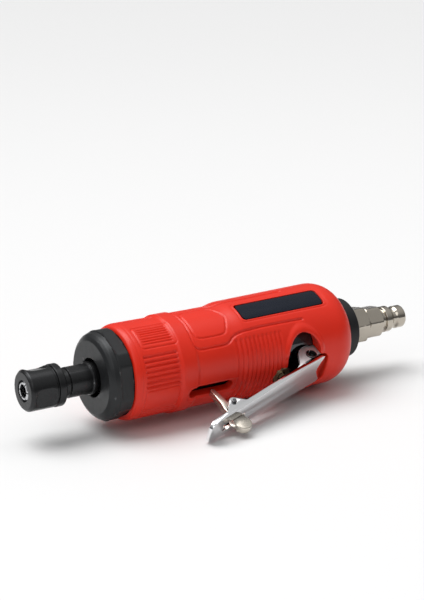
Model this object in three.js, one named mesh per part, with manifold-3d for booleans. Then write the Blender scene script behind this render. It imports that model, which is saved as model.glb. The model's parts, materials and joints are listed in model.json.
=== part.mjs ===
// An inline air die grinder: nose group, vane motor, moulded grip over a metal core, valve, levers
// and air inlet.
// Millimetres. The tool's axis is X: the collet points to -X, the air plug to +X, and Z is up.
// Lengths along the axis start at the front cap's flat face. Both levers work in one plane through the
// axis, LEVER_TILT below the horizontal on the -Y side. In that plane a height is a distance from the
// axis, and a width is measured across the plane.
import * as THREE from "three";
import { mergeVertices } from "three/addons/utils/BufferGeometryUtils.js";
import Module from "manifold-3d";

const wasm = await Module();
wasm.setup();

// ---- Driving dimensions -------------------------------------------------------------------------
const DEG = Math.PI / 180;
const LEVER_TILT = 25 * DEG;
const GAP = 0.3; // running clearance between neighbouring pieces
const FINE = 36; // sides of the large turned pieces
const GRIP_TURN = 7; // degrees that the grip's facets are turned by, so that it rests on an edge
const MEDIUM = 24;
const COARSE = 14;

const SHANK_R = 3.0; // 6 mm tool shank
const NUT = { front: -33.1, rear: -16, r: 9.3, flangeR: 9.5, scallops: 3, flat: 8.2 };
const SPINDLE = { front: -28, threadR: 6.2, noseR: 6.9, flat: 5.7, shaftR: 5, tailR: 4, rear: 75 };
const CAP = { r: 20.4, faceR: 16.5, flats: 6, acrossFlats: 37.8, rear: 10.5, skirtR: 19, skirt: 19 };
const MOTOR = { r: 14.4, front: 20.3, rear: 62, bore: 12, offset: 1.2, rotorR: 10.5, vanes: 5 };
const BAY = { r: 14.8, front: 11.3, rear: 80 };
const CORE = { frontR: 17, r: 17.6, rearR: 16, step: 112, rear: 127 };
const GRIP = { front: 11, rear: 129, sleeveR: 21.8, waistR: 21.9, handR: 23.2, rearR: 24 };
const FRONT_BEARING = { x: 8, width: 8, shaft: 5.3, inner: 6.9, outer: 9.6, r: 12, balls: 7 };
const REAR_BEARING = { x: 66, width: 7, shaft: 4.3, inner: 5.7, outer: 8.7, r: 11, balls: 7 };

const PIN = { x: 103.3, height: 20.2, r: 1.5, headR: 2.5, bore: 1.7, head: 5.6, rear: -8.6, front: 10 };
const LEVER = { rest: 18.2 * DEG, face: 4.5, sheet: 1.5, lip: 2.2, heel: 6.3, tip: 74.2 };
const LEVER_HALF = { atPin: 7.65, taper: 0.0306 }; // half the width, and how fast it narrows
const EAR = { r: 6.2, behind: 1.6 };
const LOCK = { along: 54.2, depth: -0.5, arm: 14.4, lean: 10.8 * DEG, low: -2.4, high: 0.8 };
const LOCK_PIN = { r: 1, half: 6.8, earR: 2.3 };
const DOWEL = { height: -12.6, width: 2.6, r: 0.8, front: 17.4, rear: 25.6 };
const SHOULDER = { start: 118, length: 10.5, endR: 16.5 }; // the grip's rounded rear end
const TAB = { along: 1.5, out: 8.3, r: 4.2 };
const WINDOW = { heelEnd: 50.3, tipEnd: 65.4 };
const STEM = { x: 87.5, r: 1.9, top: 27.9, seat: 7.9 };
const STEM_BORE = 4.8; // clears the valve bushing in the core, the grip and the bracket's foot
const POCKET = { x: 98.1, halfX: 8.7, halfWidth: 18 };
const BRACKET = { x: 100.5, r: 9.2, floor: 11, sheet: 2, halfLug: 5.4, screwX: 94.6, screwWidth: 4 };
const EAR_WELL = { front: 96, rear: 111.6, halfWidth: 8.4, floor: 13.2 };
const SLOT = { front: 38.5, rear: 61.5, width: 5.5, floor: 15.8 };
const PANEL = { front: 71, rear: 115, width: 9.5, sheet: 0.8 };
const INLET = { shaftR: 6.7, front: 100, flange: 137.7, rear: 148, bore: 4 };
const RING = { r: 14.2, front: 119, rear: 137.4, wall: 2 };
const PLUG = { front: 141, hex: 148.3, rear: 172, bore: 2.6 };

// ---- Shapes -------------------------------------------------------------------------------------
// A three.js geometry as a closed solid.
function solid(geometry) {
  const bare = geometry.index ? geometry.toNonIndexed() : geometry.clone();
  bare.deleteAttribute("normal");
  bare.deleteAttribute("uv");
  const merged = mergeVertices(bare, 1e-4);
  const corners = merged.index.array;
  const kept = [];
  for (let i = 0; i < corners.length; i += 3) {
    const [a, b, c] = corners.slice(i, i + 3);
    if (a !== b && b !== c && c !== a) kept.push(a, b, c);
  }
  return new wasm.Manifold(
    new wasm.Mesh({
      numProp: 3,
      vertProperties: merged.attributes.position.array,
      triVerts: new Uint32Array(kept),
    }),
  );
}

// A solid turned about the X axis from [x, radius] points, which close on themselves or on the axis.
function turned(points, sides = MEDIUM) {
  const loop = points.map(([x, r]) => new THREE.Vector2(r, x));
  if (THREE.ShapeUtils.area(loop) < 0) loop.reverse();
  const onAxis = loop.findIndex((p, i) => p.x === 0 && loop[(i + 1) % loop.length].x !== 0);
  const start = Math.max(onAxis, 0);
  const path = [...loop.slice(start), ...loop.slice(0, start)];
  const closes = path[0].x !== 0;
  if (closes) path.push(path[0].clone());
  return solid(new THREE.LatheGeometry(path, sides).rotateZ(-Math.PI / 2));
}

// A plain ring or rod about the X axis.
function ring(x0, x1, outer, inner, sides = MEDIUM) {
  return turned(
    [
      [x0, inner],
      [x0, outer],
      [x1, outer],
      [x1, inner],
    ],
    sides,
  );
}

// A round rod between two points.
function rod(from, to, radius, sides = COARSE) {
  const axis = new THREE.Vector3().subVectors(to, from);
  const up = new THREE.Vector3(0, 1, 0);
  const geometry = new THREE.CylinderGeometry(radius, radius, axis.length(), sides);
  geometry.applyQuaternion(new THREE.Quaternion().setFromUnitVectors(up, axis.clone().normalize()));
  const middle = from.clone().lerp(to, 0.5);
  return solid(geometry.translate(middle.x, middle.y, middle.z));
}

// A flat outline of [a, b] points or a THREE.Shape, pushed along Z from z0 to z1.
function slab(outline, z0, z1, curveSegments = 8) {
  const shape = Array.isArray(outline)
    ? new THREE.Shape(outline.map(([a, b]) => new THREE.Vector2(a, b)))
    : outline;
  const options = { depth: z1 - z0, bevelEnabled: false, curveSegments };
  return new THREE.ExtrudeGeometry(shape, options).translate(0, 0, z0);
}

function box(x0, x1, y0, y1, z0, z1) {
  const geometry = new THREE.BoxGeometry(x1 - x0, y1 - y0, z1 - z0);
  return geometry.translate((x0 + x1) / 2, (y0 + y1) / 2, (z0 + z1) / 2);
}

// A rectangle with round corners, centred on (a, b).
function roundedRectangle(a, b, halfA, halfB, radius) {
  const shape = new THREE.Shape();
  shape.moveTo(a - halfA + radius, b - halfB);
  shape.lineTo(a + halfA - radius, b - halfB);
  shape.absarc(a + halfA - radius, b - halfB + radius, radius, -Math.PI / 2, 0);
  shape.lineTo(a + halfA, b + halfB - radius);
  shape.absarc(a + halfA - radius, b + halfB - radius, radius, 0, Math.PI / 2);
  shape.lineTo(a - halfA + radius, b + halfB);
  shape.absarc(a - halfA + radius, b + halfB - radius, radius, Math.PI / 2, Math.PI);
  shape.lineTo(a - halfA, b - halfB + radius);
  shape.absarc(a - halfA + radius, b - halfB + radius, radius, Math.PI, 1.5 * Math.PI);
  return shape;
}

// In the lever plane, local X is the tool's axis, local -Y is the height and local Z is the width.
const leverPoint = (x, height, width = 0) =>
  new THREE.Vector3(x, -height, width).applyAxisAngle(new THREE.Vector3(1, 0, 0), LEVER_TILT);

// An outline over (x, width), pushed from one height to another, as a cut made from the lever side.
function cutFromLeverSide(shape, low, high, curveSegments = 4) {
  return solid(slab(shape, low, high, curveSegments).rotateX(Math.PI / 2).rotateX(LEVER_TILT));
}

// A regular prism along X, with a flat facing straight up when turn is 0.
function prism(x0, x1, acrossFlats, count, turn = 0) {
  const corner = acrossFlats / 2 / Math.cos(Math.PI / count);
  const points = [];
  for (let i = 0; i < count; i++) {
    const angle = ((i + 0.5) * 2 * Math.PI) / count + turn;
    points.push([corner * Math.sin(angle), corner * Math.cos(angle)]);
  }
  return solid(slab(points, x0, x1).rotateX(-Math.PI / 2).rotateZ(-Math.PI / 2));
}

const union = (...bodies) => bodies.reduce((whole, body) => whole.add(body));
const cut = (body, ...tools) => tools.reduce((whole, tool) => whole.subtract(tool), body);
const around = (count, make) => Array.from({ length: count }, (_, i) => make((i * 2 * Math.PI) / count, i));

// A helix about the X axis.
class Helix extends THREE.Curve {
  constructor(radius, length, turns) {
    super();
    Object.assign(this, { radius, length, turns });
  }

  getPoint(t, target = new THREE.Vector3()) {
    const angle = 2 * Math.PI * this.turns * t;
    return target.set(t * this.length, this.radius * Math.cos(angle), this.radius * Math.sin(angle));
  }
}

// A wire spring along X from x = 0, whose outside radius is coilR.
function spring(coilR, wire, length, turns) {
  const section = new THREE.Shape().absarc(0, 0, wire / 2, 0, 2 * Math.PI);
  return new THREE.ExtrudeGeometry(section, {
    steps: turns * 9,
    curveSegments: 3,
    extrudePath: new Helix(coilR - wire / 2, length, turns),
  });
}

// ---- Nose group ---------------------------------------------------------------------------------
function colletNut() {
  const groove = NUT.rear - 4.6;
  const body = turned([
    [NUT.front, 4.7],
    [NUT.front, 8.24],
    [NUT.front + 1, NUT.r],
    [groove, NUT.r],
    [groove + 0.3, 8.7],
    [groove + 0.8, 8.7],
    [groove + 1.1, NUT.flangeR],
    [NUT.rear - 0.9, NUT.flangeR],
    [NUT.rear, 8.6],
    [NUT.rear, 6.5],
    [-28.6, 6.5],
    [-29.4, 5.6],
    [-31.1, 4.7],
  ]);
  const outline = roundedRectangle(-26, 0, 5, 4.4, 3.4);
  const scallops = around(NUT.scallops, (turn) =>
    solid(slab(outline, NUT.flat, NUT.r + 2, 3).rotateX(turn - 15 * DEG)),
  );
  return cut(body, ...scallops);
}

function collet() {
  const body = turned([
    [-33, SHANK_R + 0.05],
    [-33, 3.8],
    [-32.5, 4.3],
    [-31, 4.3],
    [-29.3, 5.2],
    [-28.2, 5.2],
    [-20, 4.2],
    [-16, 4.2],
    [-16, SHANK_R + 0.05],
  ], 24);
  const slits = around(3, (turn) => solid(box(-34, -20.5, -6, 6, -0.25, 0.25).rotateX(turn / 2)));
  return cut(body, ...slits);
}

function rotorSpindle() {
  const { front, threadR, noseR, shaftR, tailR, rear } = SPINDLE;
  const body = turned([
    [-5, 0],
    [-8, 3.3],
    [-15.5, 3.3],
    [-15.5, 4.5],
    [-20, 4.5],
    [front, 5.5],
    [front, threadR],
    [-13, threadR],
    [-12.6, noseR],
    [-2.4, noseR],
    [-2, noseR + 0.5],
    [-0.4, noseR + 0.5],
    [0, noseR],
    [5, noseR],
    [5, shaftR],
    [MOTOR.front + 0.5, shaftR],
    [MOTOR.front + 0.5, MOTOR.rotorR],
    [MOTOR.rear - 0.5, MOTOR.rotorR],
    [MOTOR.rear - 0.5, tailR],
    [rear, tailR],
    [rear, 0],
  ]);
  const flats = [1, -1].map((side) => {
    const reach = [side * SPINDLE.flat, side * (noseR + 1)].sort((a, b) => a - b);
    return solid(box(-12, -3, reach[0], reach[1], -8, 8));
  });
  const slots = around(MOTOR.vanes, (turn) =>
    solid(box(MOTOR.front, MOTOR.rear, -1.05, 1.05, 5.4, MOTOR.rotorR + 1).rotateX(turn)),
  );
  const clipGroove = ring(73.6, 74.4, tailR + 1, tailR - 0.5);
  return cut(body, ...flats, ...slots, clipGroove);
}

function vane(turn) {
  return solid(box(MOTOR.front + 0.8, MOTOR.rear - 0.8, -0.75, 0.75, 5.8, 10.3).rotateX(turn));
}

function shaftClip() {
  const whole = ring(73.8, 74.2, SPINDLE.tailR + 1.1, SPINDLE.tailR - 0.2, 24);
  return cut(whole, solid(box(73, 75, -1.5, 1.5, 0, 8)));
}

function frontCap() {
  const body = turned(
    [
      [0, 8.7],
      [0, CAP.faceR],
      [0.7, 17.9],
      [2, 19.1],
      [4, 19.8],
      [4.4, CAP.r],
      [CAP.rear, CAP.r],
      [CAP.rear, CAP.skirtR],
      [CAP.skirt, CAP.skirtR],
      [CAP.skirt, CORE.frontR + GAP],
      [BAY.front - GAP, CORE.frontR + GAP],
      [BAY.front - GAP, 14.7],
      [5, 14.7],
      [5, 8.7],
    ],
    FINE,
  );
  const wrench = prism(4.4, CAP.rear + 1, CAP.acrossFlats, CAP.flats, 34.4 * DEG);
  const kept = union(ring(-1, 4.4, CAP.r + 1, 1, 12), wrench, ring(CAP.rear, CAP.skirt + 1, CAP.r, 1, 12));
  return body.intersect(kept);
}

function frontEndPlate() {
  const wall = 16.4;
  const body = turned([
    [6, 12.3],
    [6, MOTOR.r],
    [20, MOTOR.r],
    [20, 7.6],
    [wall, 7.6],
    [wall, 12.3],
  ]);
  return cut(body, dowelHole());
}

function motorCylinder() {
  const body = ring(MOTOR.front, MOTOR.rear, MOTOR.r, MOTOR.rotorR);
  const bore = rod(
    leverPoint(MOTOR.front - 1, MOTOR.offset),
    leverPoint(MOTOR.rear + 1, MOTOR.offset),
    MOTOR.bore,
    MEDIUM,
  );
  const ports = [29, 41, 53].map((x) => cutFromLeverSide(roundedRectangle(x, 0, 3, 4, 1), -16, -9, 1));
  return cut(body, bore, dowelHole(), ...ports);
}

// The dowel that keeps the motor's cylinder from turning, or with a clearance the hole for it.
function dowel(clearance) {
  const { height, width, r, front, rear } = DOWEL;
  const end = (x) => leverPoint(x, height, width);
  return rod(end(front - clearance), end(rear + clearance), r + clearance, 12);
}
const dowelHole = () => dowel(GAP);

function rearEndPlate() {
  const wall = 65.5;
  return turned([
    [MOTOR.rear + GAP, 6],
    [MOTOR.rear + GAP, MOTOR.r],
    [76.4, MOTOR.r],
    [76.4, 11.3],
    [wall, 11.3],
    [wall, 6],
  ]);
}

// The balls of one bearing, held by their cage.
function ballCage({ x, width, inner, outer, balls }) {
  const pitch = (inner + outer) / 2;
  const radius = (outer - inner) / 2 - GAP;
  const middle = x + width / 2;
  const cage = ring(middle - 0.6, middle + 0.6, pitch + 0.5, pitch - 0.5, balls * 2);
  return around(balls, (turn) =>
    solid(new THREE.SphereGeometry(radius, 6, 3).translate(middle, 0, pitch).rotateX(turn)),
  ).reduce((whole, ball) => whole.add(ball), cage);
}

function waveWasher() {
  const flat = ring(77.6, 78.2, 13.8, 10.6, 24);
  const waves = around(3, (turn) =>
    solid(box(77.2, 78.6, -1.5, 1.5, 10.9, 13.4).rotateX(turn)),
  );
  return union(flat, ...waves);
}

// ---- Grip and core ------------------------------------------------------------------------------
// The outer line of the grip from the front lip to the top of the rear shoulder.
const GRIP_LINE = [
  [GRIP.front, 19.7],
  [GRIP.front + 0.5, 20.7],
  [13, 21.4],
  [15, GRIP.sleeveR],
  [33.5, GRIP.sleeveR - 0.2],
  [34.5, 22.5],
  [41.5, 22.6],
  [43, GRIP.waistR],
  [62, GRIP.waistR],
  [65, 22.4],
  [69, GRIP.handR],
  [95, 23.6],
  [SHOULDER.start, GRIP.rearR],
];

// The rear shoulder, a quarter of an ellipse.
function rearShoulder(steps) {
  const points = [];
  for (let i = 1; i <= steps; i++) {
    const angle = (i / steps) * 90 * DEG;
    const r = SHOULDER.endR + (GRIP.rearR - SHOULDER.endR) * Math.cos(angle);
    points.push([SHOULDER.start + SHOULDER.length * Math.sin(angle), r]);
  }
  return points;
}

// A groove along the axis, sunk into the front sleeve at one angle around it.
function sleeveGroove(angle, width, depth) {
  const bottom = GRIP.sleeveR - depth;
  const outline = [
    [-width / 2, GRIP.sleeveR + 0.5],
    [0, bottom],
    [width / 2, GRIP.sleeveR + 0.5],
  ];
  const geometry = slab(outline, 15.8, 32.8, 1).rotateX(-Math.PI / 2).rotateZ(-Math.PI / 2);
  return solid(geometry.rotateX(Math.PI / 2 + LEVER_TILT + angle));
}

// Evenly spaced sleeve grooves, centred at an angle from the lever plane.
function groovePanel(middle, count, pitch, width, depth) {
  return Array.from({ length: count }, (_, i) =>
    sleeveGroove(middle + (i - (count - 1) / 2) * pitch, width, depth),
  );
}

const panelOutline = (margin) =>
  roundedRectangle(
    (PANEL.front + PANEL.rear) / 2,
    0,
    (PANEL.rear - PANEL.front) / 2 + margin,
    PANEL.width / 2 + margin,
    1.5,
  );

// A shell that follows the grip's surface, between two depths under it.
function gripShell(outerDepth, innerDepth) {
  const [front, rear] = [PANEL.front - 2, PANEL.rear + 2];
  const slope = (GRIP.rearR - GRIP.handR) / (SHOULDER.start - front);
  const at = (x, depth) => [x, GRIP.handR + (x - front) * slope - depth];
  const outline = [at(front, innerDepth), at(front, outerDepth), at(rear, outerDepth), at(rear, innerDepth)];
  return turned(outline, FINE);
}

// The panel lies a quarter turn from the lever plane, on the upper side.
function panelBlock(margin, low, high) {
  return solid(slab(panelOutline(margin), low, high, 3).rotateX(LEVER_TILT));
}

// Cuts that go through both the grip and the core on the lever side.
const lockSlot = () =>
  roundedRectangle(
    (SLOT.front + SLOT.rear) / 2,
    0,
    (SLOT.rear - SLOT.front) / 2,
    SLOT.width / 2,
    SLOT.width / 2 - 0.01,
  );
const earWell = () => {
  const { front, rear, halfWidth, floor } = EAR_WELL;
  const outline = roundedRectangle((front + rear) / 2, 0, (rear - front) / 2, halfWidth, 3);
  return cutFromLeverSide(outline, floor, 30);
};

// The moulded grip sleeve.
function grip() {
  const inner = [
    [GRIP.rear, CORE.rearR + GAP],
    [CORE.step + GAP, CORE.rearR + GAP],
    [CORE.step + GAP, CORE.r + GAP],
    [20, CORE.r + GAP],
    [20, CAP.skirtR + GAP],
    [GRIP.front, CAP.skirtR + GAP],
  ];
  const body = turned([...inner, ...GRIP_LINE, ...rearShoulder(4)], FINE).rotate([GRIP_TURN, 0, 0]);
  const pocket = roundedRectangle(POCKET.x, 0, POCKET.halfX, POCKET.halfWidth, POCKET.halfX - 0.1);
  const panels = [
    ...groovePanel(38.6 * DEG, 7, 5.7 * DEG, 1.5, 0.6),
    ...groovePanel(-38.6 * DEG, 7, 5.7 * DEG, 1.5, 0.6),
    ...groovePanel(141.4 * DEG, 7, 5.7 * DEG, 1.5, 0.6),
    ...groovePanel(-141.4 * DEG, 7, 5.7 * DEG, 1.5, 0.6),
    ...groovePanel(101 * DEG, 7, 3.5 * DEG, 0.8, 0.35),
  ];
  return cut(
    body,
    cutFromLeverSide(lockSlot(), 10, 30),
    cutFromLeverSide(pocket, 0, 30),
    earWell(),
    rod(leverPoint(STEM.x, 10), leverPoint(STEM.x, 30), STEM_BORE),
    gripShell(-2, 1.3).intersect(panelBlock(0.5, 18, 30)),
    ...panels,
  );
}

// The metal core: motor bay in front, valve block in the middle, exhaust chamber behind.
function core() {
  const body = turned(
    [
      [98, 0],
      [98, 7],
      [RING.front - 1, 7],
      [RING.front - 1, RING.r + GAP],
      [CORE.rear, RING.r + GAP],
      [CORE.rear, CORE.rearR],
      [CORE.step, CORE.rearR],
      [CORE.step, CORE.r],
      [20, CORE.r],
      [20, CORE.frontR],
      [BAY.front, CORE.frontR],
      [BAY.front, BAY.r],
      [BAY.rear, BAY.r],
      [BAY.rear, 0],
    ],
    FINE,
  );
  const passages = [110, 180, 250].map((angle) => {
    const height = 12 * Math.cos(angle * DEG);
    const width = 12 * Math.sin(angle * DEG);
    return rod(leverPoint(79, height, width), leverPoint(119, height, width), 2.2, 10);
  });
  return cut(
    body,
    cutFromLeverSide(lockSlot(), SLOT.floor, 30),
    rod(leverPoint(BRACKET.x, BRACKET.floor), leverPoint(BRACKET.x, 30), BRACKET.r + GAP, MEDIUM),
    earWell(),
    rod(leverPoint(STEM.x, -9), leverPoint(STEM.x, 30), STEM_BORE),
    rod(leverPoint(79, 11.5), leverPoint(STEM.x - 1, 11.5), 2, 10),
    rod(leverPoint(STEM.x + 2, 0), leverPoint(99, 0), 2.5, 10),
    cutFromLeverSide(roundedRectangle(53, 0, 27, 6, 2), -17, -13, 1),
    ...passages,
    ...bracketScrews((width) => bracketRod(4.5, BRACKET.floor + 1, 1.5, width)),
  );
}

// The panel's top is a little below the grip's surface.
const panelPlate = () => gripShell(0.2, 0.2 + PANEL.sheet).intersect(panelBlock(0, 18, 30));

// ---- Air inlet and exhaust ----------------------------------------------------------------------
function exhaustRing() {
  const body = turned(
    [
      [RING.front, 12.4],
      [RING.front, RING.r],
      [RING.rear - 0.8, RING.r],
      [RING.rear, RING.r - 0.8],
      [RING.rear, 8.6],
      [RING.rear - RING.wall, 8.6],
      [RING.rear - RING.wall, 12.4],
    ],
    MEDIUM,
  );
  const vents = around(8, (turn) =>
    solid(box(RING.rear - 3, RING.rear + 1, -0.9, 0.9, 9.6, 12.2).rotateX(turn)),
  );
  return cut(body, ...vents);
}

function inletBushing() {
  const { shaftR, front, flange, rear, bore } = INLET;
  const body = turned(
    [
      [front, 4.7],
      [front, shaftR],
      [flange, shaftR],
      [flange, 9.4],
      [rear - 1, 9.4],
      [rear, 8],
      [rear, 5.3],
      [PLUG.front - 1, 5.3],
      [PLUG.front - 1, bore],
      [front + 1.6, bore],
      [front + 1.6, 4.7],
    ],
    24,
  );
  const wrench = union(prism(flange, rear, 16, 6, 10 * DEG), ring(front - 1, flange, 9.4, 1, 12));
  return body.intersect(wrench);
}

function inletScreen() {
  const disc = ring(INLET.front + 0.3, INLET.front + 1.2, 4.3, 0.5, 24);
  const holes = around(6, (turn) => {
    const point = (x) => new THREE.Vector3(x, 2.6 * Math.sin(turn), 2.6 * Math.cos(turn));
    return rod(point(INLET.front), point(INLET.front + 2), 0.8, 6);
  });
  return cut(disc, ...holes);
}

function airPlug() {
  const { front, hex, rear, bore } = PLUG;
  const body = turned([
    [front, bore],
    [front, 4.9],
    [hex, 4.9],
    [hex, 7.3],
    [hex + 0.6, 7.9],
    [156.6, 7.9],
    [157.6, 6.6],
    [158.4, 5.2],
    [159.6, 5.2],
    [160.2, 6.2],
    [163.4, 6.3],
    [164, 5],
    [165.2, 4.3],
    [166.6, 4.5],
    [167.6, 5.4],
    [rear - 0.6, 5.5],
    [rear, 5],
    [rear, bore],
  ]);
  const kept = union(
    prism(hex, 157.6, 14, 6, 10 * DEG),
    ring(front - 1, hex, 9, 1, 12),
    ring(157.6, rear + 1, 9, 1, 12),
  );
  return body.intersect(kept);
}

// A seal with a six-sided section.
function seal(x, radius, section, sides = MEDIUM) {
  const points = [];
  for (let i = 0; i < 6; i++) {
    const angle = (i + 0.5) * 60 * DEG;
    points.push([x + section * Math.cos(angle), radius + section * Math.sin(angle)]);
  }
  return turned(points, sides);
}

// ---- Valve, built about a local X axis that points from the tool's axis out to the lever --------
function valveStem() {
  const { r, top, seat } = STEM;
  return turned(
    [
      [seat - 7, 0],
      [seat - 7, 1.3],
      [seat - 2.4, 1.3],
      [seat - 2.4, 4.2],
      [seat - 0.6, 4.2],
      [seat, 3.6],
      [seat, r],
      [top - 1.4, r],
      [top - 0.5, 1.4],
      [top, 0.5],
      [top, 0],
    ],
    COARSE,
  );
}

function valveBushing() {
  const body = turned(
    [
      [9.3, 3],
      [9.3, 4.5],
      [22.2, 4.5],
      [22.6, 4.1],
      [22.6, STEM.r + GAP],
      [20.8, STEM.r + GAP],
      [20.8, 3.2],
      [18.4, 3.2],
      [18.4, STEM.r + GAP],
      [14, STEM.r + GAP],
      [14, 3],
    ],
    16,
  );
  const port = rod(new THREE.Vector3(11.5, 0, -6), new THREE.Vector3(11.5, 0, 6), 1.4, 12);
  return cut(body, port);
}

const valveSpring = () => solid(spring(3.4, 0.8, 10.3, 4).translate(-8.2, 0, 0));

// ---- Levers -------------------------------------------------------------------------------------
const bracketRod = (low, high, radius, width, sides = 10) =>
  rod(leverPoint(BRACKET.screwX, low, width), leverPoint(BRACKET.screwX, high, width), radius, sides);
const bracketScrews = (make) => [-BRACKET.screwWidth, BRACKET.screwWidth].map(make);

const leverPinRod = (radius, low, high) =>
  rod(leverPoint(PIN.x, PIN.height, low), leverPoint(PIN.x, PIN.height, high), radius);

// The round foot and the lug that stand between the throttle lever's ears.
function leverBracket() {
  const low = BRACKET.floor + GAP;
  const foot = rod(leverPoint(BRACKET.x, low), leverPoint(BRACKET.x, low + BRACKET.sheet), BRACKET.r, 20);
  const lugR = LEVER.face - LEVER.sheet - GAP;
  const lug = new THREE.Shape();
  lug.moveTo(PIN.x - 5, -low - 1);
  lug.lineTo(PIN.x - lugR, -PIN.height);
  lug.absarc(PIN.x, -PIN.height, lugR, Math.PI, 2 * Math.PI);
  lug.lineTo(PIN.x + 5, -low - 1);
  const upright = solid(slab(lug, -BRACKET.halfLug, BRACKET.halfLug, 5).rotateX(LEVER_TILT));
  return cut(
    union(foot, upright),
    leverPinRod(PIN.r + GAP, -20, 20),
    rod(leverPoint(STEM.x, 5), leverPoint(STEM.x, 30), STEM_BORE),
    ...bracketScrews((width) => bracketRod(9, 15, 1.5, width)),
  );
}

// The pivot pin, with a hollow slit head on the side of the panel.
function leverPin() {
  const { x, height, r, headR, bore, head, rear, front } = PIN;
  const slit = box(x - 0.35, x + 0.35, -height, -height + 4, head + 1, front + 2).rotateX(LEVER_TILT);
  return cut(
    union(leverPinRod(r, rear, head + 1), leverPinRod(headR, head, front)),
    leverPinRod(bore, head + 1.2, front + 2),
    solid(slit),
  );
}

function bracketScrew(width) {
  const top = BRACKET.floor + GAP + BRACKET.sheet;
  const head = bracketRod(top + GAP, top + 1.8, 2, width, 14);
  return cut(union(head, bracketRod(5, top + 1, 1.2, width)), bracketRod(top + 0.9, 20, 1, width, 6));
}

// The throttle lever in its own frame: X runs from the pin to the tip, Y out of the plate, Z across.
const halfWidthAt = (x) => LEVER_HALF.atPin - LEVER_HALF.taper * x;

// The lever's outline seen square to the plate, set in by a margin.
function leverPlan(margin) {
  const heel = -LEVER.heel + margin;
  const tip = LEVER.tip - margin;
  const shape = new THREE.Shape();
  const side = (x) => halfWidthAt(x) - margin;
  shape.moveTo(heel + 3, -side(heel));
  shape.lineTo(tip - 4.5, -side(tip - 4.5));
  shape.quadraticCurveTo(tip - 0.8, -side(tip) + 0.6, tip, 0);
  shape.quadraticCurveTo(tip - 0.8, side(tip) - 0.6, tip - 4.5, side(tip - 4.5));
  shape.lineTo(heel + 3, side(heel));
  shape.quadraticCurveTo(heel + 0.3, side(heel) - 0.5, heel, 0);
  shape.quadraticCurveTo(heel + 0.3, -side(heel) + 0.5, heel + 3, -side(heel));
  return shape;
}

// The lever's outline seen from its side: plate, pivot ear behind its slit, lips and lock ears.
function leverSide() {
  const { face, sheet, lip, heel, tip } = LEVER;
  const under = face - sheet;
  const lipY = face - lip;
  const slitEnd = 7.3;
  const slitY = under - 1.2;
  const rear = -EAR.behind - Math.sqrt(EAR.r ** 2 - slitY ** 2);
  const shape = new THREE.Shape();
  shape.moveTo(-heel - 1, face);
  shape.lineTo(-heel - 1, under);
  shape.lineTo(slitEnd, under);
  shape.lineTo(slitEnd, slitY);
  shape.lineTo(rear, slitY);
  shape.absarc(-EAR.behind, 0, EAR.r, Math.atan2(slitY, rear + EAR.behind), 1.72 * Math.PI);
  shape.quadraticCurveTo(7.6, 0, 12, lipY);
  shape.lineTo(LOCK.along - 5.6, lipY);
  shape.lineTo(LOCK.along - 5.6, lipY - 0.4);
  shape.absarc(LOCK.along, LOCK.depth, LOCK_PIN.earR, 225 * DEG, 320 * DEG);
  shape.quadraticCurveTo(LOCK.along + 4.5, 0.2, LOCK.along + 8.5, lipY);
  shape.lineTo(tip - 3, lipY);
  shape.quadraticCurveTo(tip + 0.3, lipY + 0.1, tip + 1, face);
  return shape;
}

function throttleLever() {
  const { face, sheet, heel } = LEVER;
  const inside = halfWidthAt(0) - sheet;
  const across = (x, y, radius, low = -12) =>
    rod(new THREE.Vector3(x, y, low), new THREE.Vector3(x, y, 12), radius);
  // An outline over X and Z, which fills Y from low to high.
  const plan = (shape, low, high) => solid(slab(shape, -high, -low, 5).rotateX(Math.PI / 2));
  const window = roundedRectangle(
    (WINDOW.heelEnd + WINDOW.tipEnd) / 2,
    (LOCK.low + LOCK.high) / 2,
    (WINDOW.tipEnd - WINDOW.heelEnd) / 2,
    (LOCK.high - LOCK.low) / 2 + 0.4,
    0.8,
  );
  return cut(
    solid(slab(leverSide(), -9, 9, 5)).intersect(plan(leverPlan(0), -12, 8)),
    plan(leverPlan(sheet), -14, face - sheet),
    solid(box(-heel - 14, -heel + 4, -12, face - sheet, -inside, inside)), // the open heel
    plan(window, 0, 8),
    across(0, 0, PIN.r + GAP),
    across(0, 0, PIN.headR + GAP, 0),
    across(LOCK.along, LOCK.depth, LOCK_PIN.r + GAP),
  );
}

// The lock-off lever about its own pin: the arm hangs down, and the tab stands out past the plate.
function lockLever() {
  const along = (distance, offset) => [
    -distance * Math.sin(LOCK.lean) + offset * Math.cos(LOCK.lean),
    -distance * Math.cos(LOCK.lean) - offset * Math.sin(LOCK.lean),
  ];
  const shape = new THREE.Shape();
  shape.moveTo(...along(-1, 2.6));
  shape.lineTo(...along(2.5, 2.6));
  shape.lineTo(...along(5, 2));
  shape.lineTo(...along(LOCK.arm - 1, 1.4));
  shape.quadraticCurveTo(...along(LOCK.arm + 1.2, 0), ...along(LOCK.arm - 1, -1.4));
  shape.lineTo(...along(5, -2));
  shape.lineTo(...along(2.5, -2.6));
  shape.lineTo(...along(-1, -2.6));
  shape.lineTo(TAB.along - 3.6, TAB.out - 4);
  shape.absarc(TAB.along, TAB.out, TAB.r, 200 * DEG, -20 * DEG, true);
  shape.lineTo(TAB.along + 3.2, TAB.out - 4);
  const hole = rod(new THREE.Vector3(0, 0, -5), new THREE.Vector3(0, 0, 5), LOCK_PIN.r + GAP, 12);
  return cut(solid(slab(shape, LOCK.low, LOCK.high, 7)), hole);
}

const lockPin = () =>
  rod(new THREE.Vector3(0, 0, -LOCK_PIN.half), new THREE.Vector3(0, 0, LOCK_PIN.half), LOCK_PIN.r, 12);
const lockSpring = () => solid(spring(2.4, 0.6, 1.6, 2).rotateY(-Math.PI / 2).translate(0, 0, 1.6));

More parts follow.
